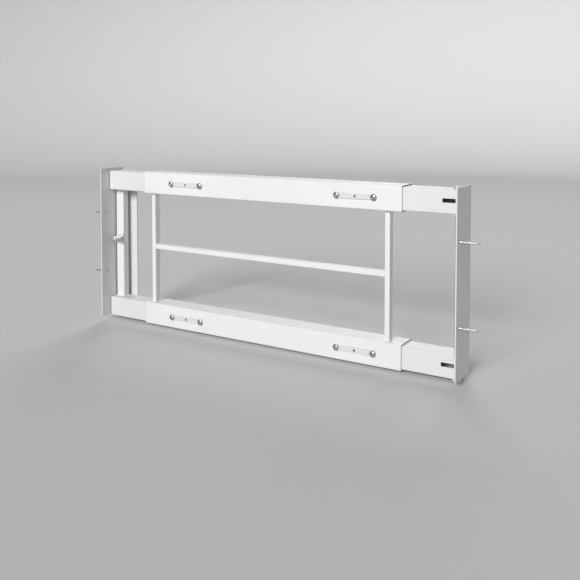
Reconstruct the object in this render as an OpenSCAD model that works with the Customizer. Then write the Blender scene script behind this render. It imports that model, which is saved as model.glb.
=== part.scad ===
/* [Window opening] */
// Width between the two jambs at which the guard is set
opening_w = 838; // [800:1:1060]
// Distance that each side can still push in from there
adjust_in = 65; // [20:1:65]
// Distance that each side can still pull out from there
adjust_out = 90; // [40:1:90]

/* [Rails] */
// Height between the centre lines of the two rails
rail_span = 291; // [240:1:360]
// Length of the outer sleeves
sleeve_len = 615; // [612:1:740]
// Side of the square sleeve tube
sleeve_side = 48; // [40:0.5:58]
// Wall of the sleeve tube
sleeve_wall = 1.6; // [1.2:0.1:2.5]
// Outside corner radius of the sleeve tube
sleeve_corner = 2.6; // [2.6:0.1:4]
// Wall of the inner tube
tube_wall = 1.6; // [1.2:0.1:2.5]
// Outside corner radius of the inner tube
tube_corner = 2.6; // [2.6:0.1:4]
// Sliding gap on each side between inner tube and sleeve
slide_gap = 0.8; // [0.4:0.1:1]

/* [Tube slots] */
// Length of the slot at the hinge end of each inner tube
slot_len = 24; // [12:1:40]
// Height of that slot
slot_h = 7.4; // [4:0.1:12]
// Distance from the slot to the end of the tube
slot_inset = 7; // [5:0.5:20]
// Height of the slot above the tube's centre line
slot_rise = 2; // [0:0.5:4]

/* [Bars] */
// Width of the upright and cross bars
bar_w = 10; // [8:0.5:16]
// Depth of the bars from front to back
bar_depth = 14.5; // [8:0.5:20]
// Distance of the bars behind the face of the sleeves
bar_setback = 9.5; // [4:0.5:16]
// Corner radius of the bars
bar_corner = 1; // [0.4:0.1:2]
// Distance from the left sleeve end to the left upright bar
left_bar_inset = 12.5; // [8:0.5:60]
// Distance from the right sleeve end to the right upright bar
right_bar_inset = 27.5; // [8:0.5:60]
// Height of the cross bar above mid-height
cross_bar_rise = 3; // [-40:1:40]

/* [Lock plates] */
// Length of a lock plate
plate_len = 89; // [80:1:110]
// Height of a lock plate
plate_h = 10.5; // [9:0.5:16]
// Thickness of a lock plate
plate_t = 2; // [1.5:0.1:4]
// Distance between the two lock screws of a plate
lock_spacing = 77; // [50:1:78]
// Distance from the left sleeve end to the middle of its lock plates
left_plate_inset = 117; // [90:1:130]
// Distance from the right sleeve end to the middle of its lock plates
right_plate_inset = 94; // [80:1:100]
// Radius of the lock screw's shank
lock_screw_r = 2.5; // [2:0.1:3]
// Radius of the lock screw's head
lock_head_r = 6.2; // [5:0.1:7]
// Height of the lock screw's head
lock_head_h = 3.8; // [3:0.1:5]
// Width across the flats of the hex socket
hex_flats = 4; // [3:0.1:5]
// Depth of the hex socket
hex_depth = 2.2; // [1:0.1:2.4]
// Radius of the rivet's shank
rivet_r = 1.6; // [1.2:0.1:2]
// Radius of the rivet's head
rivet_head_r = 2.4; // [2.2:0.1:4]
// Height of the rivet's head
rivet_head_h = 1; // [0.6:0.1:1.6]

/* [Jamb plates] */
// Thickness of the jamb plates
jamb_t = 2.5; // [2:0.1:4]
// Height of the jamb plates
jamb_h = 338; // [300:1:420]
// Height of the jamb plates' middle above mid-height
jamb_rise = 4; // [0:1:8]
// Distance that the jamb plates stand forward of the sleeves
jamb_forward = 24; // [18:1:40]
// Corner radius of the jamb plates
jamb_corner = 5; // [2:0.5:10]
// Distance between the two screws of the latch jamb plate
latch_screw_spacing = 135; // [60:1:160]
// Distance between the two screws of the hinge jamb plate
hinge_screw_spacing = 150; // [60:1:160]
// Distance from the plate's front edge to its screws
jamb_screw_inset = 15.5; // [10:0.5:17]
// Radius of the jamb screw over its thread
jamb_screw_r = 2.4; // [2:0.1:3]
// Radius of the plain neck under the jamb screw's head
jamb_neck_r = 1.9; // [1.5:0.1:1.9]
// Length of that neck beyond the plate
jamb_neck_len = 2; // [1:0.5:6]
// Radius of the jamb screw's head
jamb_head_r = 4.6; // [4:0.1:6]
// Length of the jamb screw beyond the plate
jamb_screw_len = 30; // [20:1:50]
// Gap between the latch jamb plate and the ends of the tubes
jamb_gap = 1.2; // [1:0.1:3]

/* [Stop flange] */
// Width of the stop flange behind the tubes, from the jamb
flange_w = 45.5; // [30:0.5:45.5]
// Distance that the flange is shorter than the plate at each end
flange_relief = 6; // [3:1:12]
// Inside radius of the bend
bend_r = 1; // [0.5:0.1:2]
// Gap between the stop flange and the tubes
flange_gap = 0.4; // [0.3:0.1:1]

/* [Hinge] */
// Radius of the hinge pin
pin_r = 3; // [2.5:0.1:3]
// Distance from the jamb to the pin
pin_from_jamb = 11.5; // [11.5:0.1:16]
// Distance from the tube's front face to the pin
pin_from_front = 6; // [5.9:0.1:8]
// Distance from the pin to the end of the tube
pin_from_end = 6; // [5:0.1:6]
// Wall of the bush that lines the tube around the pin
bush_wall = 1.1; // [0.8:0.1:1.1]
// Distance that the bush stands proud of the tube at each end
bush_proud = 0.15; // [0.1:0.05:0.2]
// Thickness of a hinge lug
lug_t = 2; // [1.6:0.1:4]
// Radius of the lug's nose around the pin
lug_r = 6.5; // [6:0.1:8]
// Gap between a lug and the tube
lug_gap = 0.4; // [0.3:0.05:0.8]
// Radius of the pin's head and of its clip
pin_head_r = 5.5; // [5:0.1:6.5]
// Height of the pin's head
pin_head_h = 3; // [2:0.1:5]
// Thickness of the clip under the lowest lug
clip_t = 1.2; // [0.8:0.1:2]

/* [Latch] */
// Width of the latch end post
post_w = 22; // [20:1:24]
// Depth of the latch end post
post_depth = 17; // [12:1:17]
// Wall of the latch end post
post_wall = 1.5; // [1.2:0.1:2.5]
// Distance from the jamb plate to the post
post_gap = 3.2; // [3:0.1:6]
// Distance of the post's front face forward of mid-depth
post_forward = 4; // [0:0.5:6]
// Height of the bolt above mid-height
bolt_rise = 9.5; // [-60:0.5:50]
// Radius of the bolt
bolt_r = 3.5; // [3:0.1:4]
// Length of the bolt
bolt_len = 24; // [22:0.5:25]
// Gap between the drawn bolt and the jamb plate
bolt_gap = 0.5; // [0.4:0.1:1]
// Distance that the bolt is thrown
bolt_throw = 8.5; // [6:0.5:8.5]
// Wall of the latch barrel
barrel_wall = 2.2; // [1.6:0.1:3]
// Length of the latch barrel
barrel_len = 20; // [18:0.5:20]
// Distance from the post's outer edge to the barrel
barrel_inset = 2.3; // [1:0.1:4]
// Height of the barrel's foot
foot_h = 24; // [22:1:30]
// Thickness of the barrel's foot
foot_t = 1.5; // [1.2:0.1:3]
// Radius of the foot's screws
foot_screw_r = 1.3; // [1:0.1:1.6]
// Radius of the knob's stem
knob_stem_r = 1.8; // [1.4:0.1:2]
// Radius of the knob's head
knob_head_r = 3.2; // [2.6:0.1:4]
// Distance from the knob's stem to the barrel's inner end
knob_inset = 4; // [3.5:0.1:5]
// Distance that the knob stands out from the barrel
knob_reach = 4; // [3:0.5:8]

/* [Hidden] */

$fn = 48;
powder_white = "#f4f5f6";
zinc = "#b9bcc0";
bronze = "#b08d57";

// Gap between parts that are welded, riveted or screwed together
seat = 0.2;
// Radial gap of a running fit and of a fixed shank in its hole
fit = 0.06;
// Extra length that carries a cut past a face
cut = 1;
// Length of tube that stays past the lock screws when pulled right out
lock_margin = 5;
// Gap between a lock screw's tip and the inner tube
tip_gap = 0.3;

// Rails and tubes
rail_z = rail_span / 2;
sleeve_half = sleeve_side / 2;
tube_side = sleeve_side - 2 * (sleeve_wall + slide_gap);
tube_half = tube_side / 2;
reach = (opening_w - sleeve_len) / 2;
sleeve_left = -opening_w + reach;
sleeve_right = -reach;
left_insert = left_plate_inset + lock_spacing / 2 + lock_margin + adjust_out;
right_insert = right_plate_inset + lock_spacing / 2 + lock_margin + adjust_out;
left_tube_end = -opening_w + jamb_t + jamb_gap;
left_tube_len = sleeve_left + left_insert - left_tube_end;
pin_x = -pin_from_jamb;
pin_y = -tube_half + pin_from_front;
right_tube_end = pin_x + pin_from_end;
right_tube_len = right_tube_end - sleeve_right + right_insert;

// Bars
bar_front = -sleeve_half + bar_setback;
bar_len = rail_span - sleeve_side - 2 * seat;
left_bar_x = sleeve_left + left_bar_inset;
right_bar_x = sleeve_right - right_bar_inset - bar_w;
cross_len = right_bar_x - left_bar_x - bar_w - 2 * seat;

// Lock plates
left_plate_x = sleeve_left + left_plate_inset;
right_plate_x = sleeve_right - right_plate_inset;
plate_xs = [left_plate_x, right_plate_x];
plate_back = -sleeve_half - seat;
plate_front = plate_back - plate_t;
lock_len = -tube_half - tip_gap - plate_front;
rivet_len = -sleeve_half + sleeve_wall + tip_gap - plate_front;

// Jamb plates
jamb_front = -sleeve_half - jamb_forward;
jamb_screw_y = jamb_front + jamb_screw_inset;
flange_front = tube_half + flange_gap;
flange_back = flange_front + jamb_t;
bend_out = bend_r + jamb_t;
sink_h = jamb_t - 0.5;
jamb_head_rise = 1.1;
jamb_tip_len = 6;

// Hinge
bush_r = pin_r + bush_wall;
bush_len = tube_side + 2 * bush_proud;
lug_z = tube_half + lug_gap;
pin_top = rail_z + lug_z + lug_t + seat;
pin_tail = 3;

// Latch
post_x = -opening_w + jamb_t + post_gap;
post_len = rail_span - tube_side - 2 * seat;
barrel_r = bolt_r + barrel_wall;
barrel_x = post_x + barrel_inset;
foot_back = -post_forward - seat;
bolt_y = foot_back - barrel_r - 0.6;
bolt_x = -opening_w + jamb_t + bolt_gap;
keeper_gap = 1.6;
knob_x = barrel_x + barrel_len - knob_inset;
slot_room = 0.4;
foot_screw_z = (foot_h / 2 + barrel_r) / 2;
foot_screw_len = foot_t + post_wall + seat;

// Rectangle with round corners, centred
module round_rect(w, h, r) {
    square([w - 2 * r, h], center = true);
    square([w, h - 2 * r], center = true);
    for (x = [-1, 1], y = [-1, 1])
        translate([x * (w / 2 - r), y * (h / 2 - r)])
            circle(r);
}

// Square tube along +X from the origin
module square_tube(len, side, wall, corner) {
    inner = side - 2 * wall;
    rotate([90, 0, 90])
        linear_extrude(len)
            difference() {
                round_rect(side, side, corner);
                round_rect(inner, inner, corner - wall);
            }
}

// Solid along +X from the origin, turned so that its end faces lie across X
module along_x(len) {
    rotate([90, 0, 90])
        linear_extrude(len)
            children();
}

// Round shank along +Y from the origin
module shank_y(r, len) {
    rotate([-90, 0, 0])
        cylinder(r = r, h = len);
}

// Shallow round dome with its flat face on the XY plane, rising along +Z
module dome(r, h) {
    ball_r = (r * r + h * h) / (2 * h);
    intersection() {
        translate([0, 0, h - ball_r])
            sphere(ball_r, $fn = 64);
        cylinder(r = r, h = h);
    }
}

// Screw hole pattern of one lock plate, cut along Y
module lock_holes() {
    for (side = [-1, 1])
        translate([side * lock_spacing / 2, plate_front - cut, 0])
            shank_y(lock_screw_r + fit, plate_t + sleeve_wall + seat + 2 * cut);
    translate([0, plate_front - cut, 0])
        shank_y(rivet_r + fit, plate_t + sleeve_wall + seat + 2 * cut);
}

module sleeve(z) {
    color(powder_white)
        difference() {
            translate([sleeve_left, 0, z])
                square_tube(sleeve_len, sleeve_side, sleeve_wall, sleeve_corner);
            for (x = plate_xs)
                translate([x, 0, z])
                    lock_holes();
        }
}

module left_inner_tube(z) {
    color(powder_white)
        translate([left_tube_end, 0, z])
            square_tube(left_tube_len, tube_side, tube_wall, tube_corner);
}

// Inner tube with the hinge bush's hole and the slot in its front face
module right_inner_tube(z) {
    color(powder_white)
        difference() {
            translate([right_tube_end - right_tube_len, 0, z])
                square_tube(right_tube_len, tube_side, tube_wall, tube_corner);
            translate([pin_x, pin_y, z - tube_half - cut])
                cylinder(r = bush_r + fit, h = tube_side + 2 * cut);
            translate([
                right_tube_end - slot_inset - slot_len,
                -tube_half - cut,
                z + slot_rise - slot_h / 2
            ])
                cube([slot_len, tube_wall + cut + 0.2, slot_h]);
        }
}

// Upright bar welded between the two sleeves
module upright_bar(x) {
    color(powder_white)
        translate([x + bar_w / 2, bar_front + bar_depth / 2, -bar_len / 2])
            linear_extrude(bar_len)
                round_rect(bar_w, bar_depth, bar_corner);
}

module cross_bar() {
    color(powder_white)
        translate([
            left_bar_x + bar_w + seat,
            bar_front + bar_depth / 2,
            cross_bar_rise
        ])
            along_x(cross_len)
                round_rect(bar_depth, bar_w, bar_corner);
}

// Strip with round ends that the lock screws thread through
module lock_plate(x, z) {
    color(powder_white)
        difference() {
            translate([x, plate_back, z])
                rotate([90, 0, 0])
                    linear_extrude(plate_t) {
                        square([plate_len - plate_h, plate_h], center = true);
                        for (side = [-1, 1])
                            translate([side * (plate_len - plate_h) / 2, 0])
                                circle(plate_h / 2);
                    }
            translate([x, 0, z])
                lock_holes();
        }
}

module lock_screw() {
    difference() {
        union() {
            shank_y(lock_screw_r, lock_len);
            rotate([90, 0, 0])
                dome(lock_head_r, lock_head_h);
        }
        translate([0, -lock_head_h + hex_depth, 0])
            rotate([90, 0, 0])
                cylinder(r = hex_flats / sqrt(3), h = hex_depth + cut, $fn = 6);
    }
}

module lock_screws() {
    color(zinc)
        for (x = plate_xs, side = [-1, 1], z = [-rail_z, rail_z])
            translate([x + side * lock_spacing / 2, plate_front, z])
                lock_screw();
}

module lock_plate_rivets() {
    color(zinc)
        for (x = plate_xs, z = [-rail_z, rail_z])
            translate([x, plate_front, z]) {
                shank_y(rivet_r, rivet_len);
                rotate([90, 0, 0])
                    dome(rivet_head_r, rivet_head_h);
            }
}

// Countersunk hole through a jamb plate, from its mounting face at x = 0 to x = jamb_t
module countersunk_hole() {
    rotate([0, 90, 0]) {
        translate([0, 0, -cut])
            cylinder(r = jamb_screw_r + fit, h = jamb_t + 2 * cut);
        translate([0, 0, jamb_t - sink_h])
            cylinder(r1 = jamb_screw_r + fit, r2 = jamb_head_r + fit, h = sink_h);
        translate([0, 0, jamb_t])
            cylinder(r = jamb_head_r + fit, h = cut);
    }
}

// Both screw holes of a jamb plate
module jamb_holes(spacing) {
    for (side = [-1, 1])
        translate([0, jamb_screw_y, jamb_rise + side * spacing / 2])
            countersunk_hole();
}

// Wood screw with an oval countersunk head, its shank along -X from the mounting face
module jamb_screw() {
    rotate([0, 90, 0]) {
        translate([0, 0, -jamb_neck_len])
            cylinder(r = jamb_neck_r, h = jamb_neck_len + jamb_t - sink_h);
        translate([0, 0, -jamb_screw_len])
            cylinder(r = jamb_screw_r, h = jamb_screw_len - jamb_neck_len);
        translate([0, 0, -jamb_screw_len - jamb_tip_len])
            cylinder(r1 = 0.2, r2 = jamb_screw_r, h = jamb_tip_len);
        translate([0, 0, jamb_t - sink_h])
            cylinder(r1 = jamb_screw_r, r2 = jamb_head_r, h = sink_h);
        translate([0, 0, jamb_t])
            difference() {
                dome(jamb_head_r, jamb_head_rise);
                for (turn = [0, 90])
                    rotate([0, 0, turn])
                        translate([-jamb_head_r * 0.6, -0.5, 0.2])
                            cube([jamb_head_r * 1.2, 1, jamb_head_rise]);
            }
    }
}

module jamb_screw_pair(spacing) {
    color(zinc)
        for (side = [-1, 1])
            translate([0, jamb_screw_y, jamb_rise + side * spacing / 2])
                jamb_screw();
}

// Leg of a jamb plate against the jamb, its mounting face at x = 0
module jamb_leg(back, back_corner) {
    depth = back - jamb_front;
    translate([0, jamb_front + depth / 2, jamb_rise])
        along_x(jamb_t) {
            round_rect(depth, jamb_h, jamb_corner);
            translate([depth / 4, 0])
                round_rect(depth / 2, jamb_h, back_corner);
        }
}

module hinge_jamb_plate() {
    color(powder_white)
        mirror([1, 0, 0])
            difference() {
                jamb_leg(sleeve_half, jamb_corner);
                jamb_holes(hinge_screw_spacing);
            }
}

// Pair of lugs, above and below one rail's tube, that hold the hinge pin
module hinge_lugs(z) {
    lug_len = pin_from_jamb - jamb_t - seat;
    color(powder_white)
        for (lug_base = [lug_z, -lug_z - lug_t])
            translate([pin_x, pin_y, z + lug_base])
                difference() {
                    union() {
                        cylinder(r = lug_r, h = lug_t);
                        translate([0, -lug_r, 0])
                            cube([lug_len, 2 * lug_r, lug_t]);
                    }
                    translate([0, 0, -cut])
                        cylinder(r = pin_r + fit, h = lug_t + 2 * cut);
                }
}

module hinge_pin() {
    color(zinc)
        translate([pin_x, pin_y, 0]) {
            translate([0, 0, -pin_top - clip_t - pin_tail])
                cylinder(r = pin_r, h = 2 * pin_top + clip_t + pin_tail);
            translate([0, 0, pin_top])
                dome(pin_head_r, pin_head_h);
        }
}

// Push-on clip under the lowest lug
module hinge_pin_clip() {
    color(zinc)
        translate([pin_x, pin_y, -pin_top - clip_t])
            difference() {
                cylinder(r = pin_head_r, h = clip_t);
                translate([0, 0, -cut])
                    cylinder(r = pin_r + fit, h = clip_t + 2 * cut);
            }
}

// Bush that lines the tube around the hinge pin
module hinge_bush(z) {
    color(bronze)
        translate([pin_x, pin_y, z - bush_len / 2])
            difference() {
                cylinder(r = bush_r, h = bush_len);
                translate([0, 0, -cut])
                    cylinder(r = pin_r + fit, h = bush_len + 2 * cut);
            }
}

// Hollow post welded between the ends of the two left tubes
module latch_end_post() {
    color(powder_white)
        translate([post_x + post_w / 2, -post_forward + post_depth / 2, -post_len / 2])
            difference() {
                linear_extrude(post_len)
                    difference() {
                        round_rect(post_w, post_depth, bar_corner + post_wall);
                        round_rect(post_w - 2 * post_wall, post_depth - 2 * post_wall, bar_corner);
                    }
                translate([
                    barrel_x + barrel_len / 2 - post_x - post_w / 2,
                    -post_depth / 2 - cut,
                    post_len / 2 + bolt_rise
                ])
                    foot_holes(post_wall + 2 * cut);
            }
}

// The two screw holes of the latch barrel's foot, cut along +Y
module foot_holes(len) {
    for (side = [-1, 1])
        translate([0, 0, side * foot_screw_z])
            shank_y(foot_screw_r + fit, len);
}

// Barrel with a foot, a bore for the bolt and a slot for the knob
module latch_barrel() {
    color(powder_white)
        translate([barrel_x, 0, bolt_rise])
            difference() {
                union() {
                    translate([0, bolt_y, 0])
                        rotate([0, 90, 0])
                            cylinder(r = barrel_r, h = barrel_len);
                    translate([0, foot_back - foot_t, -foot_h / 2])
                        cube([barrel_len, foot_t, foot_h]);
                    translate([0, bolt_y, -barrel_r])
                        cube([barrel_len, foot_back - bolt_y, 2 * barrel_r]);
                }
                translate([-cut, bolt_y, 0])
                    rotate([0, 90, 0])
                        cylinder(r = bolt_r + fit, h = barrel_len + 2 * cut);
                translate([
                    barrel_len - knob_inset - bolt_throw - knob_stem_r - slot_room,
                    bolt_y - barrel_r - cut,
                    -knob_stem_r - slot_room
                ])
                    cube([
                        bolt_throw + 2 * (knob_stem_r + slot_room),
                        barrel_r + cut,
                        2 * (knob_stem_r + slot_room)
                    ]);
                translate([barrel_len / 2, foot_back - foot_t - cut, 0])
                    foot_holes(foot_t + 2 * cut);
            }
}

module latch_barrel_screws() {
    color(zinc)
        for (side = [-1, 1])
            translate([
                barrel_x + barrel_len / 2,
                foot_back - foot_t,
                bolt_rise + side * foot_screw_z
            ]) {
                shank_y(foot_screw_r, foot_screw_len);
                rotate([90, 0, 0])
                    dome(foot_screw_r * 1.7, 1.1);
            }
}

// Round bolt with a chamfered tip and a cross hole for the knob's stem
module latch_bolt() {
    tip = 1;
    color(zinc)
        difference() {
            translate([bolt_x, bolt_y, bolt_rise])
                rotate([0, 90, 0]) {
                    cylinder(r1 = bolt_r - tip, r2 = bolt_r, h = tip);
                    translate([0, 0, tip])
                        cylinder(r = bolt_r, h = bolt_len - tip);
                }
            translate([knob_x, bolt_y - bolt_r - cut, bolt_rise])
                shank_y(knob_stem_r + fit, bolt_r + cut);
        }
}

// Thumb knob whose stem passes through the barrel's slot into the bolt
module latch_knob() {
    stem_len = barrel_r + knob_reach - seat;
    color(zinc)
        translate([knob_x, bolt_y - seat, bolt_rise])
            rotate([90, 0, 0]) {
                cylinder(r = knob_stem_r, h = stem_len);
                translate([0, 0, stem_len])
                    sphere(knob_head_r);
            }
}

// Jamb plate with the keeper hole, bent into a stop flange behind the tubes
module latch_jamb_bracket() {
    flange_h = jamb_h - 2 * flange_relief;
    color(powder_white)
        translate([-opening_w, 0, 0])
            difference() {
                union() {
                    jamb_leg(flange_back - bend_out, 0.5);
                    translate([bend_out, flange_back - bend_out, jamb_rise - flange_h / 2])
                        linear_extrude(flange_h)
                            intersection() {
                                difference() {
                                    circle(bend_out);
                                    circle(bend_r);
                                }
                                translate([-bend_out, 0])
                                    square(bend_out);
                            }
                    translate([bend_out, flange_front, jamb_rise - flange_h / 2])
                        cube([flange_w - bend_out, jamb_t, flange_h]);
                }
                jamb_holes(latch_screw_spacing);
                translate([-cut, bolt_y, bolt_rise])
                    rotate([0, 90, 0])
                        cylinder(r = bolt_r + keeper_gap, h = jamb_t + 2 * cut);
            }
}

hinge_jamb_plate();
hinge_lugs(rail_z);  // upper_hinge_lugs
hinge_lugs(-rail_z);  // lower_hinge_lugs
mirror([1, 0, 0]) jamb_screw_pair(hinge_screw_spacing);  // hinge_jamb_screws
hinge_pin();
hinge_pin_clip();
right_inner_tube(rail_z);  // right_upper_inner_tube
right_inner_tube(-rail_z);  // right_lower_inner_tube
hinge_bush(rail_z);  // upper_hinge_bush
hinge_bush(-rail_z);  // lower_hinge_bush
sleeve(rail_z);  // upper_sleeve
sleeve(-rail_z);  // lower_sleeve
upright_bar(left_bar_x);  // left_upright_bar
upright_bar(right_bar_x);  // right_upright_bar
cross_bar();
lock_plate(left_plate_x, rail_z);  // upper_left_lock_plate
lock_plate(left_plate_x, -rail_z);  // lower_left_lock_plate
lock_plate(right_plate_x, rail_z);  // upper_right_lock_plate
lock_plate(right_plate_x, -rail_z);  // lower_right_lock_plate
lock_screws();
lock_plate_rivets();
left_inner_tube(rail_z);  // left_upper_inner_tube
left_inner_tube(-rail_z);  // left_lower_inner_tube
latch_end_post();
latch_barrel();
latch_barrel_screws();
latch_bolt();
latch_knob();
latch_jamb_bracket();
translate([-opening_w, 0, 0]) jamb_screw_pair(latch_screw_spacing);  // latch_jamb_screws
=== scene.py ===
import math

import bmesh
import bpy
from mathutils import Matrix, Vector


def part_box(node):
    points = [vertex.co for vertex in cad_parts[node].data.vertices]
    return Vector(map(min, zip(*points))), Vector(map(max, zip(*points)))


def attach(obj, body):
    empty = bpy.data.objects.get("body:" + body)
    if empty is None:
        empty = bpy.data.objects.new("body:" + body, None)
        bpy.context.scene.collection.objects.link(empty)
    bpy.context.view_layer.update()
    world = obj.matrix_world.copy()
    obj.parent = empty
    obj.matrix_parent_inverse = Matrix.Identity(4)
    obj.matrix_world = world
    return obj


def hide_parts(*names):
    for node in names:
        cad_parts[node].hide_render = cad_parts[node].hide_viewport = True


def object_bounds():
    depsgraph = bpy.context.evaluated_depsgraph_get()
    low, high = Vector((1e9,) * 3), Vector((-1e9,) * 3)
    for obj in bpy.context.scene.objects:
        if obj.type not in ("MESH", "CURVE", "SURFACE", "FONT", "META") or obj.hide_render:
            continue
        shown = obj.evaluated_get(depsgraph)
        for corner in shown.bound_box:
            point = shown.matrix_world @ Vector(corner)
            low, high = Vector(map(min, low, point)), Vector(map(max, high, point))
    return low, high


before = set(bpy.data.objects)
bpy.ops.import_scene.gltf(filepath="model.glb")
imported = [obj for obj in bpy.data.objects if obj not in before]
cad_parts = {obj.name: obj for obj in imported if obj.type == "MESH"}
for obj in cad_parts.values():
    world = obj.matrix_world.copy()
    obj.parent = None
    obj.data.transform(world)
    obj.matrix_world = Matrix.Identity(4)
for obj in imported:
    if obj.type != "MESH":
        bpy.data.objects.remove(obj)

cad_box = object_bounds()

# ---------------------------------------------------------------------------
# Hinge jamb plate: a flat strip of 2.5 mm steel that is screwed to the right
# jamb. Punched, countersunk, welded to its lugs and then powder coated white.
# ---------------------------------------------------------------------------

MM = 0.001  # the frame is in metres, and outlines to be spun are in millimetres


class Wire:
    """One socket in a material; arithmetic on it adds the nodes that work it out."""

    def __init__(self, tree, socket=None):
        self.tree = tree
        self.socket = socket

    def add(self, kind, inputs=None, settings=None, out=0):
        """A new node of a type, with its settings first and then its sockets' values or links."""
        node = self.tree.nodes.new("ShaderNode" + kind)
        for name, value in (settings or {}).items():
            setattr(node, name, value)
        for name, value in (inputs or {}).items():
            if isinstance(value, Wire):
                self.tree.links.new(value.socket, node.inputs[name])
            else:
                node.inputs[name].default_value = value
        return Wire(self.tree, node.outputs[out])

    def math(self, operation, first, second):
        return self.add("Math", {0: first, 1: second}, {"operation": operation})

    def __add__(self, other):
        return self.math("ADD", self, other)

    def __radd__(self, other):
        return self.math("ADD", other, self)

    def __sub__(self, other):
        return self.math("SUBTRACT", self, other)

    def __rsub__(self, other):
        return self.math("SUBTRACT", other, self)

    def __mul__(self, other):
        return self.math("MULTIPLY", self, other)

    def __rmul__(self, other):
        return self.math("MULTIPLY", other, self)

    def ramp(self, low, high):
        """0 below low, 1 above high, and a smooth rise between them."""
        return self.add(
            "MapRange",
            {"Value": self, "From Min": low, "From Max": high},
            {"interpolation_type": "SMOOTHSTEP"},
        )

    def blend(self, low, high):
        """Colour low where this is 0 and colour high where it is 1."""
        return self.add("Mix", {0: self, 6: low, 7: high}, {"data_type": "RGBA"}, out=2)

    def noise(self, place, per_metre, detail=2.0, roughness=0.5):
        return self.add(
            "TexNoise",
            {"Vector": place, "Scale": per_metre, "Detail": detail, "Roughness": roughness},
        )


def new_material(name):
    """A material with its shader, and a Wire to build the rest from."""
    material = bpy.data.materials.new(name)
    material.use_nodes = True
    shader = material.node_tree.nodes["Principled BSDF"]
    return material, shader, Wire(material.node_tree)


def join(wire, socket):
    """Feeds one of the shader's own sockets."""
    wire.tree.links.new(wire.socket, socket)


def powder_coat(name, tint=(0.80, 0.805, 0.81), peel=1.0, rub=0.0):
    """White powder coat: orange peel, a fine grain, thin edges and a little dust."""
    material, shader, start = new_material(name)
    place = start.add("TexCoord", out=3)
    normal = start.add("NewGeometry", out=1)
    rounded = start.add("Bevel", {"Radius": 0.6 * MM}, {"samples": 6})
    off_edge = start.add("VectorMath", {0: rounded, 1: normal}, {"operation": "DOT_PRODUCT"}, out=1)
    cloud = start.noise(place, 9.0, 3.0)
    mottle = start.noise(place, 60.0, 4.0, 0.6)
    speck = start.noise(place, 420.0, 3.0, 0.65)
    grain = start.noise(place, 2600.0, 2.0)
    edge = (1.0 - off_edge).ramp(0.01, 0.16) * speck.ramp(0.42, 0.62)
    upward = start.add("SeparateXYZ", {0: normal}, out=2)
    dust = upward.ramp(0.6, 1.0) * mottle.ramp(0.35, 0.75)
    dark = tuple(c * 0.955 for c in tint) + (1,)
    colour = (cloud * 0.6 + mottle * 0.4).ramp(0.3, 0.7).blend(dark, tint + (1,))
    colour = (dust * 0.32).blend(colour, (0.70, 0.68, 0.645, 1))
    colour = (edge * 0.28).blend(colour, (0.60, 0.605, 0.61, 1))
    gloss = 0.36 + mottle * 0.08 + speck * 0.06 + dust * 0.16
    if rub:
        stretched = start.add("Mapping", {"Vector": place, "Scale": (6.0, 900.0, 900.0)})
        streak = start.noise(stretched, 1.0, 4.0, 0.7).ramp(0.54, 0.76) * mottle.ramp(0.4, 0.65)
        colour = (streak * rub).blend(colour, (0.52, 0.525, 0.53, 1))
        gloss = gloss - streak * 0.08
    join(colour, shader.inputs["Base Color"])
    join(gloss, shader.inputs["Roughness"])
    shader.inputs["Specular IOR Level"].default_value = 0.5
    height = start.noise(place, 520.0, 2.0) * peel + grain * 0.22
    bump = start.add(
        "Bump",
        {"Height": height, "Distance": 0.06 * MM, "Strength": 0.55, "Normal": rounded},
    )
    join(bump, shader.inputs["Normal"])
    return material


def dress(nodes, material):
    """Gives carried-over CAD nodes their finish."""
    for node in nodes:
        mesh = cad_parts[node].data
        mesh.materials.clear()
        mesh.materials.append(material)


plate_coat = powder_coat("powder_coat_on_sheet_steel", tint=(0.72, 0.725, 0.735), peel=1.25)
dress(["hinge_jamb_plate"], plate_coat)

# ---------------------------------------------------------------------------
# Hinge lugs: four short flats that hold the hinge pin above and below each
# right-hand tube. Each is welded across the jamb plate with one ropy bead.
# ---------------------------------------------------------------------------

dress(["upper_hinge_lugs", "lower_hinge_lugs"], plate_coat)

SHARP = math.radians(32)


def finish(bm, name, body, material, replaces=(), flat=False):
    """Closes a bmesh into a piece that rides on a body and stands for its CAD nodes."""
    mesh = bpy.data.meshes.new(name)
    bmesh.ops.recalc_face_normals(bm, faces=bm.faces)
    bm.to_mesh(mesh)
    bm.free()
    mesh.polygons.foreach_set("use_smooth", [True] * len(mesh.polygons))
    mesh.set_sharp_from_angle(angle=SHARP)
    mesh.materials.append(material)
    piece = bpy.data.objects.new(name, mesh)
    bpy.context.scene.collection.objects.link(piece)
    if flat:
        even = piece.modifiers.new("even_faces", "WEIGHTED_NORMAL")
        even.weight = 100
        even.keep_sharp = True
    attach(piece, body)
    if replaces:
        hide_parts(*replaces)
    return piece


def turned_shape(bm, outline, steps=48):
    """Spins an outline of (radius, height) points about Z into a closed solid."""
    points = [bm.verts.new((r * MM, 0, z * MM)) for r, z in outline]
    line = [bm.edges.new(pair) for pair in zip(points, points[1:])]
    bmesh.ops.spin(
        bm,
        geom=points + line,
        cent=(0, 0, 0),
        axis=(0, 0, 1),
        angle=math.tau,
        steps=steps,
        use_merge=True,
    )
    bmesh.ops.remove_doubles(bm, verts=bm.verts, dist=0.002 * MM)
    ends = [e for e in bm.edges if len(e.link_faces) == 1]
    if ends:
        bmesh.ops.holes_fill(bm, edges=ends, sides=0)


def arc(centre_r, centre_z, radius, first, last, count):
    """Points of a round stretch of an outline, its angles in degrees from outward."""
    turns = [math.radians(first + (last - first) * i / count) for i in range(count + 1)]
    return [(centre_r + radius * math.cos(t), centre_z + radius * math.sin(t)) for t in turns]


def copy_into(target, source, matrix):
    """Adds a placed copy of one bmesh to another."""
    mesh = bpy.data.meshes.new("copy")
    source.to_mesh(mesh)
    mesh.transform(matrix)
    target.from_mesh(mesh)
    bpy.data.meshes.remove(mesh)


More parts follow.
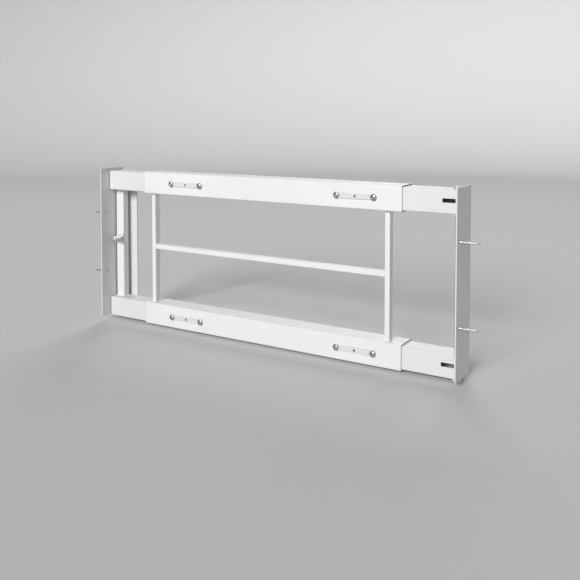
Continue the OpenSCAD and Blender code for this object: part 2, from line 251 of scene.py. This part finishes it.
WELD_RIPPLE = 1.5


def weld_bead(bm, start, end, radius):
    """A rippled bead from one point to another, half sunk in the seam that it closes."""
    along = end - start
    length = along.length / MM
    waves = max(2, round(length / WELD_RIPPLE))
    outline = [(0, 0)]
    for i in range(waves * 4 + 1):
        swell = 1 - 0.11 * math.cos(i / 4 * math.tau)
        taper = 0.6 if i in (0, waves * 4) else 1
        outline.append((radius / MM * swell * taper, length * i / (waves * 4)))
    bead = bmesh.new()
    turned_shape(bead, outline + [(0, length)], steps=10)
    copy_into(bm, bead, Matrix.Translation(start) @ along.to_track_quat("Z", "Y").to_matrix().to_4x4())
    bead.free()


LUG_BEAD = 1.1 * MM
lug_beads = bmesh.new()
plate_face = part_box("hinge_jamb_plate")[0].x
for lugs in ("upper_hinge_lugs", "lower_hinge_lugs"):
    low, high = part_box(lugs)
    for z in (low.z, high.z):
        weld_bead(
            lug_beads,
            Vector((plate_face, low.y + LUG_BEAD, z)),
            Vector((plate_face, high.y - LUG_BEAD, z)),
            LUG_BEAD,
        )
finish(lug_beads, "hinge_lug_welds", "hinge_mount", plate_coat)

# ---------------------------------------------------------------------------
# Jamb screws: zinc-plated wood screws with oval countersunk heads, two through
# each jamb plate. Cold headed, cross recessed, with a rolled coarse thread.
# ---------------------------------------------------------------------------


def zinc_plate(name, tint, gloss=0.27):
    """Bright zinc: a cool metal with fine turning marks, dulled in patches."""
    material, shader, start = new_material(name)
    place = start.add("TexCoord", out=3)
    cloud = start.noise(place, 260.0, 3.0)
    fine = start.noise(place, 1900.0, 3.0, 0.6)
    dull = cloud.ramp(0.38, 0.68)
    low = tuple(c * 0.78 for c in tint) + (1,)
    colour = (dull * 0.7 + fine * 0.3).blend(tint + (1,), low)
    join(colour, shader.inputs["Base Color"])
    join(gloss + dull * 0.14 + fine * 0.08, shader.inputs["Roughness"])
    shader.inputs["Metallic"].default_value = 1.0
    bump = start.add("Bump", {"Height": fine * 0.5, "Distance": 0.03 * MM, "Strength": 0.5})
    join(bump, shader.inputs["Normal"])
    return material


SCREW_SHANK = 1.75
SCREW_THREAD = 2.4
SCREW_HEAD = 4.6
SCREW_BODY = 30.0
SCREW_POINT = 6.0
SCREW_PITCH = 2.4
SCREW_NECK = 2.0
SCREW_RISE = 1.1
THREAD_RUN = 25.0
THREAD_FLANK = 0.62
RECESS_W = 0.9
RECESS_DEPTH = 1.6
PLATE_T = 2.5
SINK = 2.1


def wood_screw():
    """A wood screw along Z, its mounting plane at 0: its body, its cross recess and its thread."""
    bm = bmesh.new()
    core = SCREW_SHANK - 0.15
    neck = SCREW_SHANK + 0.1
    outline = [(0, -SCREW_BODY - SCREW_POINT), (core, -SCREW_BODY + 1), (core, -SCREW_NECK - 0.4)]
    outline += [(neck, -SCREW_NECK), (neck, PLATE_T - SINK)]
    outline += [
        (SCREW_HEAD * math.cos(t), PLATE_T + SCREW_RISE * math.sin(t))
        for t in [math.pi / 2 * i / 6 for i in range(7)]
    ]
    turned_shape(bm, outline, steps=40)
    recess = bmesh.new()
    for turn in (0, math.pi / 2):
        made = bmesh.ops.create_cube(recess, size=1)["verts"]
        size = Matrix.Diagonal((SCREW_HEAD * 1.05 * MM, RECESS_W * MM, RECESS_DEPTH * MM, 1))
        lift = Matrix.Translation((0, 0, (PLATE_T + 0.75) * MM))
        bmesh.ops.transform(recess, matrix=lift @ Matrix.Rotation(turn, 4, "Z") @ size, verts=made)
    thread = bmesh.new()
    ridge = [(core, -THREAD_FLANK), (SCREW_THREAD, 0), (core, THREAD_FLANK)]
    points = [thread.verts.new((r * MM, 0, (z - SCREW_BODY) * MM)) for r, z in ridge]
    line = [thread.edges.new(pair) for pair in zip(points, points[1:] + points[:1])]
    turns = THREAD_RUN / SCREW_PITCH
    bmesh.ops.spin(
        thread,
        geom=points + line,
        cent=(0, 0, 0),
        axis=(0, 0, 1),
        dvec=(0, 0, SCREW_PITCH / 24 * MM),
        angle=math.tau * turns,
        steps=round(24 * turns),
    )
    bmesh.ops.holes_fill(thread, edges=[e for e in thread.edges if len(e.link_faces) == 1], sides=0)
    return bm, recess, thread


def carve(piece, cutter_bm):
    """Cuts a bmesh out of a piece and keeps the result in the piece's own mesh."""
    mesh = bpy.data.meshes.new("cutter")
    bmesh.ops.recalc_face_normals(cutter_bm, faces=cutter_bm.faces)
    cutter_bm.to_mesh(mesh)
    cutter_bm.free()
    cutter = bpy.data.objects.new("cutter", mesh)
    bpy.context.scene.collection.objects.link(cutter)
    cut = piece.modifiers.new("cut", "BOOLEAN")
    cut.operation = "DIFFERENCE"
    cut.solver = "EXACT"
    cut.use_self = True
    cut.object = cutter
    bpy.context.view_layer.update()
    shaped = bpy.data.meshes.new_from_object(piece.evaluated_get(bpy.context.evaluated_depsgraph_get()))
    piece.modifiers.clear()
    old = piece.data
    piece.data = shaped
    shaped.name = piece.name
    bpy.data.meshes.remove(old)
    bpy.data.objects.remove(cutter)
    bpy.data.meshes.remove(mesh)


zinc = zinc_plate("zinc_plated_wood_screws", tint=(0.72, 0.725, 0.735))
screw_bm, recess_bm, thread_bm = wood_screw()
for node, body, side in (
    ("hinge_jamb_screws", "hinge_mount", 1),
    ("latch_jamb_screws", "latch_bracket", -1),
):
    low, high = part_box(node)
    head_r = SCREW_HEAD * MM
    mount_x = 0.0 if side > 0 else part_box("latch_jamb_bracket")[0].x
    shafts = bmesh.new()
    sockets = bmesh.new()
    threads = bmesh.new()
    for z in (low.z + head_r, high.z - head_r):
        stand = Matrix.Translation((mount_x, (low.y + high.y) / 2, z))
        stand = stand @ Matrix.Rotation(-side * math.pi / 2, 4, "Y")
        copy_into(shafts, screw_bm, stand)
        copy_into(sockets, recess_bm, stand)
        copy_into(threads, thread_bm, stand)
    screws = finish(shafts, node + "_turned", body, zinc, [node])
    carve(screws, sockets)
    screws.data.set_sharp_from_angle(angle=SHARP)
    finish(threads, node + "_threads", body, zinc)
for spare in (screw_bm, recess_bm, thread_bm):
    spare.free()

# ---------------------------------------------------------------------------
# Hinge pin and clip: one bright drawn rod with an upset head drops through all
# four lugs, and a sprung push-on cap grips its tail under the lowest lug.
# ---------------------------------------------------------------------------


def drawn_steel(name, along=2):
    """Bright drawn bar: long fine draw lines along one axis, with a thin film of oil."""
    material, shader, start = new_material(name)
    place = start.add("TexCoord", out=3)
    stretch = [1500.0, 1500.0, 1500.0]
    stretch[along] = 18.0
    drawn = start.add("Mapping", {"Vector": place, "Scale": tuple(stretch)})
    lines = start.noise(drawn, 1.0, 3.0, 0.6)
    cloud = start.noise(place, 140.0, 3.0)
    dark = (0.4464, 0.45, 0.4608, 1)
    colour = (lines * 0.5 + cloud * 0.5).ramp(0.3, 0.7).blend(dark, (0.62, 0.625, 0.64, 1))
    join(colour, shader.inputs["Base Color"])
    join(0.2 + lines * 0.12 + cloud * 0.12, shader.inputs["Roughness"])
    shader.inputs["Metallic"].default_value = 1.0
    bump = start.add("Bump", {"Height": lines, "Distance": 0.02 * MM, "Strength": 0.4})
    join(bump, shader.inputs["Normal"])
    return material


pin_steel = drawn_steel("bright_drawn_pin")
low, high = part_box("hinge_pin")
pin_centre = (low + high) / 2
PIN_R = 3.0
PIN_HEAD_R = 5.5
PIN_HEAD_H = 3.0
PIN_CHAMFER = 0.9
GROOVE_UP = 1.6
GROOVE_W = 0.5
GROOVE_DEPTH = 0.4
GROOVE_SLOPE = 0.3
tail_z = (low.z - pin_centre.z) / MM
head_z = (high.z - pin_centre.z) / MM
under_head = head_z - PIN_HEAD_H
groove_z = tail_z + GROOVE_UP
pin = bmesh.new()
pin_outline = [(0, tail_z), (PIN_R - PIN_CHAMFER, tail_z), (PIN_R, tail_z + PIN_CHAMFER)]
pin_outline += [(PIN_R, groove_z - GROOVE_SLOPE), (PIN_R - GROOVE_DEPTH, groove_z)]
groove_z += GROOVE_W
pin_outline += [(PIN_R - GROOVE_DEPTH, groove_z), (PIN_R, groove_z + GROOVE_SLOPE)]
pin_outline += [(PIN_R, under_head), (PIN_HEAD_R - 0.3, under_head)]
pin_outline += arc(PIN_HEAD_R - 0.3, under_head + 0.3, 0.3, -90, 0, 3)[1:]
pin_outline += [
    (PIN_HEAD_R * math.cos(t), under_head + 0.5 + (PIN_HEAD_H - 0.5) * math.sin(t))
    for t in [math.pi / 2 * i / 10 for i in range(11)]
]
turned_shape(pin, pin_outline)
bmesh.ops.translate(pin, verts=pin.verts, vec=pin_centre)
finish(pin, "turned_hinge_pin", "hinge_mount", pin_steel, ["hinge_pin"])

low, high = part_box("hinge_pin_clip")
clip_t = (high.z - low.z) / MM
clip = bmesh.new()
clip_outline = [(PIN_R + 0.06, 0.3), (PIN_R + 1.1, 0.0), (PIN_HEAD_R - 0.5, 0.35)]
clip_outline += [(PIN_HEAD_R, clip_t - 0.35), (PIN_HEAD_R, clip_t), (PIN_HEAD_R - 0.5, clip_t)]
clip_outline += [(PIN_R + 1.2, 0.45), (PIN_R + 0.06, 0.7), (PIN_R + 0.06, 0.3)]
turned_shape(clip, clip_outline, steps=40)
bmesh.ops.translate(clip, verts=clip.verts, vec=Vector((pin_centre.x, pin_centre.y, low.z)))
finish(clip, "push_on_pin_clip", "hinge_mount", pin_steel, ["hinge_pin_clip"])

# ---------------------------------------------------------------------------
# Hinge bushes: sintered bronze liners pressed through the right-hand tubes
# around the pin. Porous, oil-dark and unpainted.
# ---------------------------------------------------------------------------


def sintered_bronze(name):
    """Porous oil-filled bronze, brown in its pores."""
    material, shader, start = new_material(name)
    place = start.add("TexCoord", out=3)
    pores = start.add("TexVoronoi", {"Vector": place, "Scale": 2400.0})
    cloud = start.noise(place, 300.0, 3.0)
    pitted = pores.ramp(0.1, 0.45)
    colour = (pitted * 0.7 + cloud * 0.3).blend((0.16, 0.10, 0.045, 1), (0.52, 0.36, 0.17, 1))
    join(colour, shader.inputs["Base Color"])
    join(0.5 - pitted * 0.15, shader.inputs["Roughness"])
    shader.inputs["Metallic"].default_value = 1.0
    bump = start.add("Bump", {"Height": pitted, "Distance": 0.05 * MM, "Strength": 0.6})
    join(bump, shader.inputs["Normal"])
    return material


dress(["upper_hinge_bush", "lower_hinge_bush"], sintered_bronze("sintered_bronze_bush"))

# ---------------------------------------------------------------------------
# Right-hand inner tubes: square steel tube, punched for the bush and slotted
# in the face. Powder coated, with faint rub lines from sliding in the sleeves.
# ---------------------------------------------------------------------------

tube_coat = powder_coat("powder_coat_on_sliding_tube", tint=(0.735, 0.74, 0.75), rub=0.22)
dress(["right_upper_inner_tube", "right_lower_inner_tube"], tube_coat)

# ---------------------------------------------------------------------------
# Left-hand inner tubes: the same square tube, sawn square with the burr taken
# off. Their outer ends stand just clear of the latch side's jamb bracket.
# ---------------------------------------------------------------------------

TUBE_WALL = 1.6 * MM
TUBE_CORNER = 2.6 * MM
TUBE_RIM = 0.3 * MM


def square_tube(node):
    """A square tube along X that fills a CAD node's box, with rolled corners and softened rims."""
    low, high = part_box(node)
    bm = bmesh.new()
    bmesh.ops.create_cube(bm, size=1)
    place = Matrix.Translation((low + high) / 2) @ Matrix.Diagonal((*(high - low), 1))
    bmesh.ops.transform(bm, matrix=place, verts=bm.verts)
    long_edges = [e for e in bm.edges if abs(e.verts[0].co.x - e.verts[1].co.x) > TUBE_WALL]
    bmesh.ops.bevel(
        bm,
        geom=long_edges,
        offset=TUBE_CORNER,
        segments=8,
        profile=0.5,
        affect="EDGES",
        material=-1,
    )
    ends = [f for f in bm.faces if abs(f.normal.x) > 0.9]
    for end in ends:
        bmesh.ops.inset_region(bm, faces=[end], thickness=TUBE_WALL, use_even_offset=True)
    mouths = [e for end in ends for e in end.edges]
    bmesh.ops.delete(bm, geom=ends, context="FACES_ONLY")
    bmesh.ops.bridge_loops(bm, edges=mouths)
    bmesh.ops.recalc_face_normals(bm, faces=bm.faces)
    rim_edges = [
        e
        for e in bm.edges
        if abs(e.verts[0].co.x - e.verts[1].co.x) < 1e-6 and e.calc_face_angle(0) > SHARP
    ]
    bmesh.ops.bevel(
        bm,
        geom=rim_edges,
        offset=TUBE_RIM,
        segments=2,
        profile=0.5,
        affect="EDGES",
        material=-1,
    )
    return bm


for level in ("upper", "lower"):
    node = f"left_{level}_inner_tube"
    tube = square_tube(node)
    finish(tube, node + "_steel", "left_frame", tube_coat, [node], flat=True)

# ---------------------------------------------------------------------------
# Sleeves: the outer square tubes of the two rails, in the same 1.6 mm steel.
# Sawn, drilled behind the lock plates and powder coated after welding.
# ---------------------------------------------------------------------------

sleeve_coat = powder_coat("powder_coat_on_sleeve")
low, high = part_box("upper_sleeve")
shader = sleeve_coat.node_tree.nodes["Principled BSDF"]
coated = Wire(sleeve_coat.node_tree, shader.inputs["Base Color"].links[0].from_socket)
along = coated.add("SeparateXYZ", {0: coated.add("TexCoord", out=3)}, out=0)
# Painted shade: the end faces of the sleeves and the last fraction of a millimetre of their sides are
# painted near black, a painted shadow for the dark gap where each inner tube leaves its sleeve.
END_SHADE_FROM = 0.1 * MM
END_SHADE_TO = 0.25 * MM
painted_end_shade = along.ramp(high.x - END_SHADE_TO, high.x - END_SHADE_FROM)
painted_end_shade = painted_end_shade + (1.0 - along.ramp(low.x + END_SHADE_FROM, low.x + END_SHADE_TO))
# Near black mixed into the coat at both ends of each sleeve: painted shadow, not the steel's own
# colour.
join((painted_end_shade * 0.85).blend(coated, (0.15, 0.152, 0.158, 1)), shader.inputs["Base Color"])
for level in ("upper", "lower"):
    node = f"{level}_sleeve"
    sleeve = square_tube(node)
    finish(sleeve, node + "_steel", "sleeve_frame", sleeve_coat, [node], flat=True)

# ---------------------------------------------------------------------------
# Upright and cross bars: solid rectangular bar, cut to length and welded all
# round to the sleeves and to each other with small rippled beads.
# ---------------------------------------------------------------------------

BAR_EDGE = 0.9 * MM
BAR_BEAD = 1.3 * MM
BAR_GAP = 0.2 * MM


def solid_bar(node, axis):
    """A bar that fills a CAD node's box and reaches into its welds at both ends."""
    low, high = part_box(node)
    low[axis] -= BAR_GAP / 2
    high[axis] += BAR_GAP / 2
    bm = bmesh.new()
    bmesh.ops.create_cube(bm, size=1)
    place = Matrix.Translation((low + high) / 2) @ Matrix.Diagonal((*(high - low), 1))
    bmesh.ops.transform(bm, matrix=place, verts=bm.verts)
    half = (high[axis] - low[axis]) / 2
    long_edges = [e for e in bm.edges if abs(e.verts[0].co[axis] - e.verts[1].co[axis]) > half]
    bmesh.ops.bevel(
        bm,
        geom=long_edges,
        offset=BAR_EDGE,
        segments=4,
        profile=0.5,
        affect="EDGES",
        material=-1,
    )
    return bm


def weld_round(bm, low, high, axis, place, radius):
    """Four beads round a bar where it meets a face that lies across one axis."""
    first, second = [i for i in range(3) if i != axis]
    corners = []
    for a, b in ((0, 0), (1, 0), (1, 1), (0, 1)):
        point = Vector((0, 0, 0))
        point[axis] = place
        point[first] = (low, high)[a][first]
        point[second] = (low, high)[b][second]
        corners.append(point)
    for start, end in zip(corners, corners[1:] + corners[:1]):
        weld_bead(bm, start, end, radius)


bar_coat = powder_coat("powder_coat_on_bar", peel=0.9)
bar_welds = bmesh.new()
for node, axis in (("left_upright_bar", 2), ("right_upright_bar", 2), ("cross_bar", 0)):
    bar = solid_bar(node, axis)
    finish(bar, node + "_steel", "sleeve_frame", bar_coat, [node], flat=True)
    low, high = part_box(node)
    for place in (low[axis] - BAR_GAP, high[axis] + BAR_GAP):
        weld_round(bar_welds, low, high, axis, place, BAR_BEAD)
finish(bar_welds, "bar_welds", "sleeve_frame", bar_coat)

# ---------------------------------------------------------------------------
# Lock plates: stamped strips with round ends, riveted to the faces of the
# sleeves. The lock screws thread through them to grip the inner tubes.
# ---------------------------------------------------------------------------

strip_coat = powder_coat("powder_coat_on_lock_plate", tint=(0.69, 0.695, 0.70), peel=0.7)
STRIP_EDGE = 0.35 * MM
for level in ("upper", "lower"):
    for hand in ("left", "right"):
        node = f"{level}_{hand}_lock_plate"
        low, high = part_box(node)
        bm = bmesh.new()
        bmesh.ops.create_cube(bm, size=1)
        place = Matrix.Translation((low + high) / 2) @ Matrix.Diagonal((*(high - low), 1))
        bmesh.ops.transform(bm, matrix=place, verts=bm.verts)
        ends = [e for e in bm.edges if abs(e.verts[0].co.y - e.verts[1].co.y) > MM]
        bmesh.ops.bevel(
            bm,
            geom=ends,
            offset=(high.z - low.z) / 2 - 0.01 * MM,
            segments=14,
            profile=0.5,
            affect="EDGES",
            material=-1,
        )
        front = [
            e
            for e in bm.edges
            if all(abs(v.co.y - low.y) < 1e-6 for v in e.verts) and e.calc_face_angle(0) > SHARP
        ]
        bmesh.ops.bevel(
            bm,
            geom=front,
            offset=STRIP_EDGE,
            segments=3,
            profile=0.5,
            affect="EDGES",
            material=-1,
            clamp_overlap=True,
        )
        finish(bm, node + "_strip", "sleeve_frame", strip_coat, [node], flat=True)

# ---------------------------------------------------------------------------
# Lock screws: eight dome-head machine screws with a hexagon socket, zinc
# plated. Loosened to slide the tubes and driven home to hold them.
# ---------------------------------------------------------------------------

HEAD_R = 6.2
HEAD_H = 3.8
SOCKET_FLATS = 4.0
SOCKET_DEPTH = 2.2
SOCKET_LIP = 0.35
BRIM_H = 1.2
BRIM_ROUND = 0.35
SHANK_R = 2.5
SHANK_TIP = 0.5


def dome_screw(shank):
    """A dome-head screw along Z with its head upwards from 0, cut with its socket."""
    bm = bmesh.new()
    mouth = SOCKET_FLATS / math.sqrt(3) + SOCKET_LIP
    dome = [
        (HEAD_R * math.cos(t) ** 0.8, BRIM_H + (HEAD_H - BRIM_H) * math.sin(t))
        for t in [math.pi / 2 * i / 12 for i in range(13)]
    ]
    dome = [point for point in dome if point[0] > mouth]
    top = dome[-1][1]
    outline = [(0, -shank), (SHANK_R - SHANK_TIP, -shank), (SHANK_R, -shank + SHANK_TIP)]
    outline += [(SHANK_R, 0), (HEAD_R - BRIM_ROUND, 0)]
    outline += arc(HEAD_R - BRIM_ROUND, BRIM_ROUND, BRIM_ROUND, -90, 0, 3)[1:]
    outline += dome + [(mouth, top), (mouth - 0.25, top - 0.3)]
    turned_shape(bm, outline + [(0, top - 0.3)], steps=48)
    socket = bmesh.new()
    bmesh.ops.create_cone(
        socket,
        cap_ends=True,
        segments=6,
        radius1=SOCKET_FLATS / math.sqrt(3) * MM,
        radius2=SOCKET_FLATS / math.sqrt(3) * MM,
        depth=2 * SOCKET_DEPTH * MM,
    )
    bmesh.ops.translate(socket, verts=socket.verts, vec=(0, 0, HEAD_H * MM))
    return bm, socket


head_zinc = zinc_plate("zinc_plated_lock_screws", tint=(0.53, 0.535, 0.545))
low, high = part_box("lock_screws")
shank_len = (high.y - low.y) / MM - HEAD_H
screw_bm, socket_bm = dome_screw(shank_len)
heads = bmesh.new()
sockets = bmesh.new()
left_low, left_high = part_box("upper_left_lock_plate")
reach = (left_low.x + left_high.x) / 2 - low.x - HEAD_R * MM
turn = 0
for level in ("upper", "lower"):
    for hand in ("left", "right"):
        plate_low, plate_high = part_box(f"{level}_{hand}_lock_plate")
        centre = (plate_low + plate_high) / 2
        for side in (-1, 1):
            turn += 1
            stand = Matrix.Translation((centre.x + side * reach, plate_low.y, centre.z))
            stand = stand @ Matrix.Rotation(math.pi / 2, 4, "X") @ Matrix.Rotation(turn * 0.7, 4, "Z")
            copy_into(heads, screw_bm, stand)
            copy_into(sockets, socket_bm, stand)
screw_bm.free()
socket_bm.free()
lock_screws = finish(
    heads, "dome_head_lock_screws", "sleeve_frame", head_zinc, ["lock_screws"]
)
carve(lock_screws, sockets)
lock_screws.data.set_sharp_from_angle(angle=SHARP)

# ---------------------------------------------------------------------------
# Lock plate rivets: one small domed rivet in the middle of each lock plate,
# closed from inside the sleeve before the inner tube goes in.
# ---------------------------------------------------------------------------

rivet_zinc = zinc_plate("dull_zinc_rivets", tint=(0.25, 0.255, 0.265), gloss=0.38)
RIVET_R = 2.4
RIVET_H = 1.0
RIVET_SHANK = 1.6
RIVET_BRIM = 0.15
low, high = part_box("lock_plate_rivets")
rivet = bmesh.new()
shank_end = RIVET_H - (high.y - low.y) / MM
rivet_outline = [(0, shank_end), (RIVET_SHANK, shank_end), (RIVET_SHANK, 0), (RIVET_R, 0)]
rivet_outline += [(RIVET_R, RIVET_BRIM)]
rivet_outline += [
    (RIVET_R * math.cos(t), RIVET_BRIM + (RIVET_H - RIVET_BRIM) * math.sin(t))
    for t in [math.pi / 2 * i / 8 for i in range(1, 9)]
]
turned_shape(rivet, rivet_outline, steps=32)
rivets = bmesh.new()
for level in ("upper", "lower"):
    for hand in ("left", "right"):
        plate_low, plate_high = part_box(f"{level}_{hand}_lock_plate")
        centre = (plate_low + plate_high) / 2
        stand = Matrix.Translation((centre.x, plate_low.y, centre.z))
        stand = stand @ Matrix.Rotation(math.pi / 2, 4, "X")
        copy_into(rivets, rivet, stand)
rivet.free()
finish(rivets, "domed_rivets", "sleeve_frame", rivet_zinc, ["lock_plate_rivets"])

# ---------------------------------------------------------------------------
# Latch end post: a hollow rectangular post welded between the outer ends of
# the left tubes. It ties them together and carries the latch.
# ---------------------------------------------------------------------------

dress(["latch_end_post"], bar_coat)
post_welds = bmesh.new()
low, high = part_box("latch_end_post")
for place in (low.z - BAR_GAP, high.z + BAR_GAP):
    weld_round(post_welds, low, high, 2, place, BAR_BEAD)
finish(post_welds, "end_post_welds", "left_frame", bar_coat)

# ---------------------------------------------------------------------------
# Latch: a round bolt slides in a footed barrel on the post. A thumb knob is
# screwed into the bolt through the barrel's slot.
# ---------------------------------------------------------------------------

dress(["latch_barrel"], plate_coat)
dress(["latch_barrel_screws"], zinc)

bolt_steel = drawn_steel("bright_turned_bolt", along=0)
low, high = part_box("latch_bolt")
bolt_centre = (low + high) / 2
bolt_len = (high.x - low.x) / MM
BOLT_R = 3.5
BOLT_NOSE = 1.1
BOLT_RINGS = (3.4, 4.4)
RING_DEPTH = 0.18
bolt = bmesh.new()
bolt_outline = [(0, 0), (BOLT_R - BOLT_NOSE, 0)]
bolt_outline += arc(BOLT_R - BOLT_NOSE, BOLT_NOSE, BOLT_NOSE, -90, 0, 6)[1:]
for ring in BOLT_RINGS:
    bolt_outline += [(BOLT_R, ring - 0.2), (BOLT_R - RING_DEPTH, ring), (BOLT_R, ring + 0.2)]
bolt_outline += [(BOLT_R, bolt_len - 0.5), (BOLT_R - 0.5, bolt_len), (0, bolt_len)]
turned_shape(bolt, bolt_outline)
stand = Matrix.Translation((low.x, bolt_centre.y, bolt_centre.z))
stand = stand @ Matrix.Rotation(math.pi / 2, 4, "Y")
bmesh.ops.transform(bolt, matrix=stand, verts=bolt.verts)
finish(bolt, "turned_latch_bolt", "latch_slider", bolt_steel, ["latch_bolt"])

low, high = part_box("latch_knob")
knob_centre = (low + high) / 2
KNOB_R = 3.2
KNOB_BAND = 0.4
STEM_R = 1.8
knob_len = (high.y - low.y) / MM
ball_z = knob_len - KNOB_R
knob = bmesh.new()
neck = math.degrees(math.acos((STEM_R + 0.2) / KNOB_R))
knob_outline = [(0, 0), (STEM_R, 0), (STEM_R, ball_z - KNOB_R * 0.95)]
knob_outline += arc(0, ball_z, KNOB_R, -neck, -14, 4)
knob_outline += [(KNOB_R - 0.25, ball_z - KNOB_BAND), (KNOB_R - 0.25, ball_z + KNOB_BAND)]
knob_outline += arc(0, ball_z, KNOB_R, 14, 90, 8)
turned_shape(knob, knob_outline, steps=36)
stand = Matrix.Translation((knob_centre.x, high.y, knob_centre.z))
stand = stand @ Matrix.Rotation(math.pi / 2, 4, "X")
bmesh.ops.transform(knob, matrix=stand, verts=knob.verts)
finish(knob, "turned_thumb_knob", "latch_slider", bolt_steel, ["latch_knob"])

# ---------------------------------------------------------------------------
# Latch jamb bracket: sheet steel bent into an angle. One leg is screwed to the
# left jamb with the keeper hole in it; the other is the stop behind the tubes.
# ---------------------------------------------------------------------------

dress(["latch_jamb_bracket"], plate_coat)

# ---------------------------------------------------------------------------
# Studio: a pale round floor that sweeps up into a wall on all sides, lit
# evenly from the front and above, and more weakly from behind.
# ---------------------------------------------------------------------------

floor_z = cad_box[0].z
FLOOR_R = 4.2
SWEEP_R = 1.6
WALL_H = 1.9


def backdrop_paint():
    """Matt pale grey paper with a barely visible tooth."""
    material, shader, start = new_material("studio_paper")
    place = start.add("TexCoord", out=3)
    tooth = start.noise(place, 90.0, 3.0)
    join(tooth.blend((0.60, 0.605, 0.61, 1), (0.62, 0.625, 0.63, 1)), shader.inputs["Base Color"])
    shader.inputs["Roughness"].default_value = 0.9
    shader.inputs["Specular IOR Level"].default_value = 0.2
    return material


studio = bmesh.new()
sweep = [(0.0, 0.0), (FLOOR_R, 0.0)]
sweep += arc(FLOOR_R, SWEEP_R, SWEEP_R, -90, 0, 16)[1:]
sweep += [(FLOOR_R + SWEEP_R, WALL_H)]
turned_shape(studio, [(r / MM, z / MM) for r, z in sweep], steps=96)
for face in [f for f in studio.faces if f.calc_center_median().z > WALL_H - 0.01 and len(f.verts) > 8]:
    bmesh.ops.delete(studio, geom=[face], context="FACES_ONLY")
bmesh.ops.reverse_faces(studio, faces=studio.faces)
middle = (cad_box[0] + cad_box[1]) / 2
bmesh.ops.translate(studio, verts=studio.verts, vec=(middle.x, middle.y, floor_z))
studio_mesh = bpy.data.meshes.new("studio_sweep")
studio.to_mesh(studio_mesh)
studio.free()
studio_mesh.polygons.foreach_set("use_smooth", [True] * len(studio_mesh.polygons))
studio_mesh.materials.append(backdrop_paint())
studio_sweep = bpy.data.objects.new("studio_sweep", studio_mesh)
bpy.context.scene.collection.objects.link(studio_sweep)


def soft_sun(name, compass, height, spread, strength):
    """Even light from a direction: compass is turned from the front, height from the floor."""
    light = bpy.data.lights.new(name, "SUN")
    light.angle = math.radians(spread)
    light.energy = strength
    lamp = bpy.data.objects.new(name, light)
    lamp.rotation_euler = (math.radians(90 - height), 0, math.radians(compass))
    bpy.context.scene.collection.objects.link(lamp)


soft_sun("key", 4, 26, 24, 2.95)
soft_sun("back", -160, 32, 30, 1.0)

world = bpy.data.worlds.new("studio_air")
world.use_nodes = True
world.node_tree.nodes["Background"].inputs["Color"].default_value = (0.93, 0.95, 1.0, 1)
world.node_tree.nodes["Background"].inputs["Strength"].default_value = 0.205
bpy.context.scene.world = world
bpy.context.scene.view_settings.view_transform = "Standard"

# ---------------------------------------------------------------------------
# Camera: a little above the guard and off to its hinge side, pitched slightly
# down, with the lens shifted so that the guard stands in the upper part.
# ---------------------------------------------------------------------------

LENS = 47.54
SENSOR = 36.0
AZIMUTH = math.radians(31.56)
PITCH = math.radians(2.77)
SHIFT_Y = -0.245
camera_data = bpy.data.cameras.new("camera")
camera_data.lens = LENS
camera_data.sensor_width = SENSOR
camera_data.shift_y = SHIFT_Y
camera = bpy.data.objects.new("camera", camera_data)
camera.location = (0.4345, -1.2977, 0.3039)
camera.rotation_euler = (math.pi / 2 - PITCH, 0, AZIMUTH)
bpy.context.scene.collection.objects.link(camera)
bpy.context.scene.camera = camera
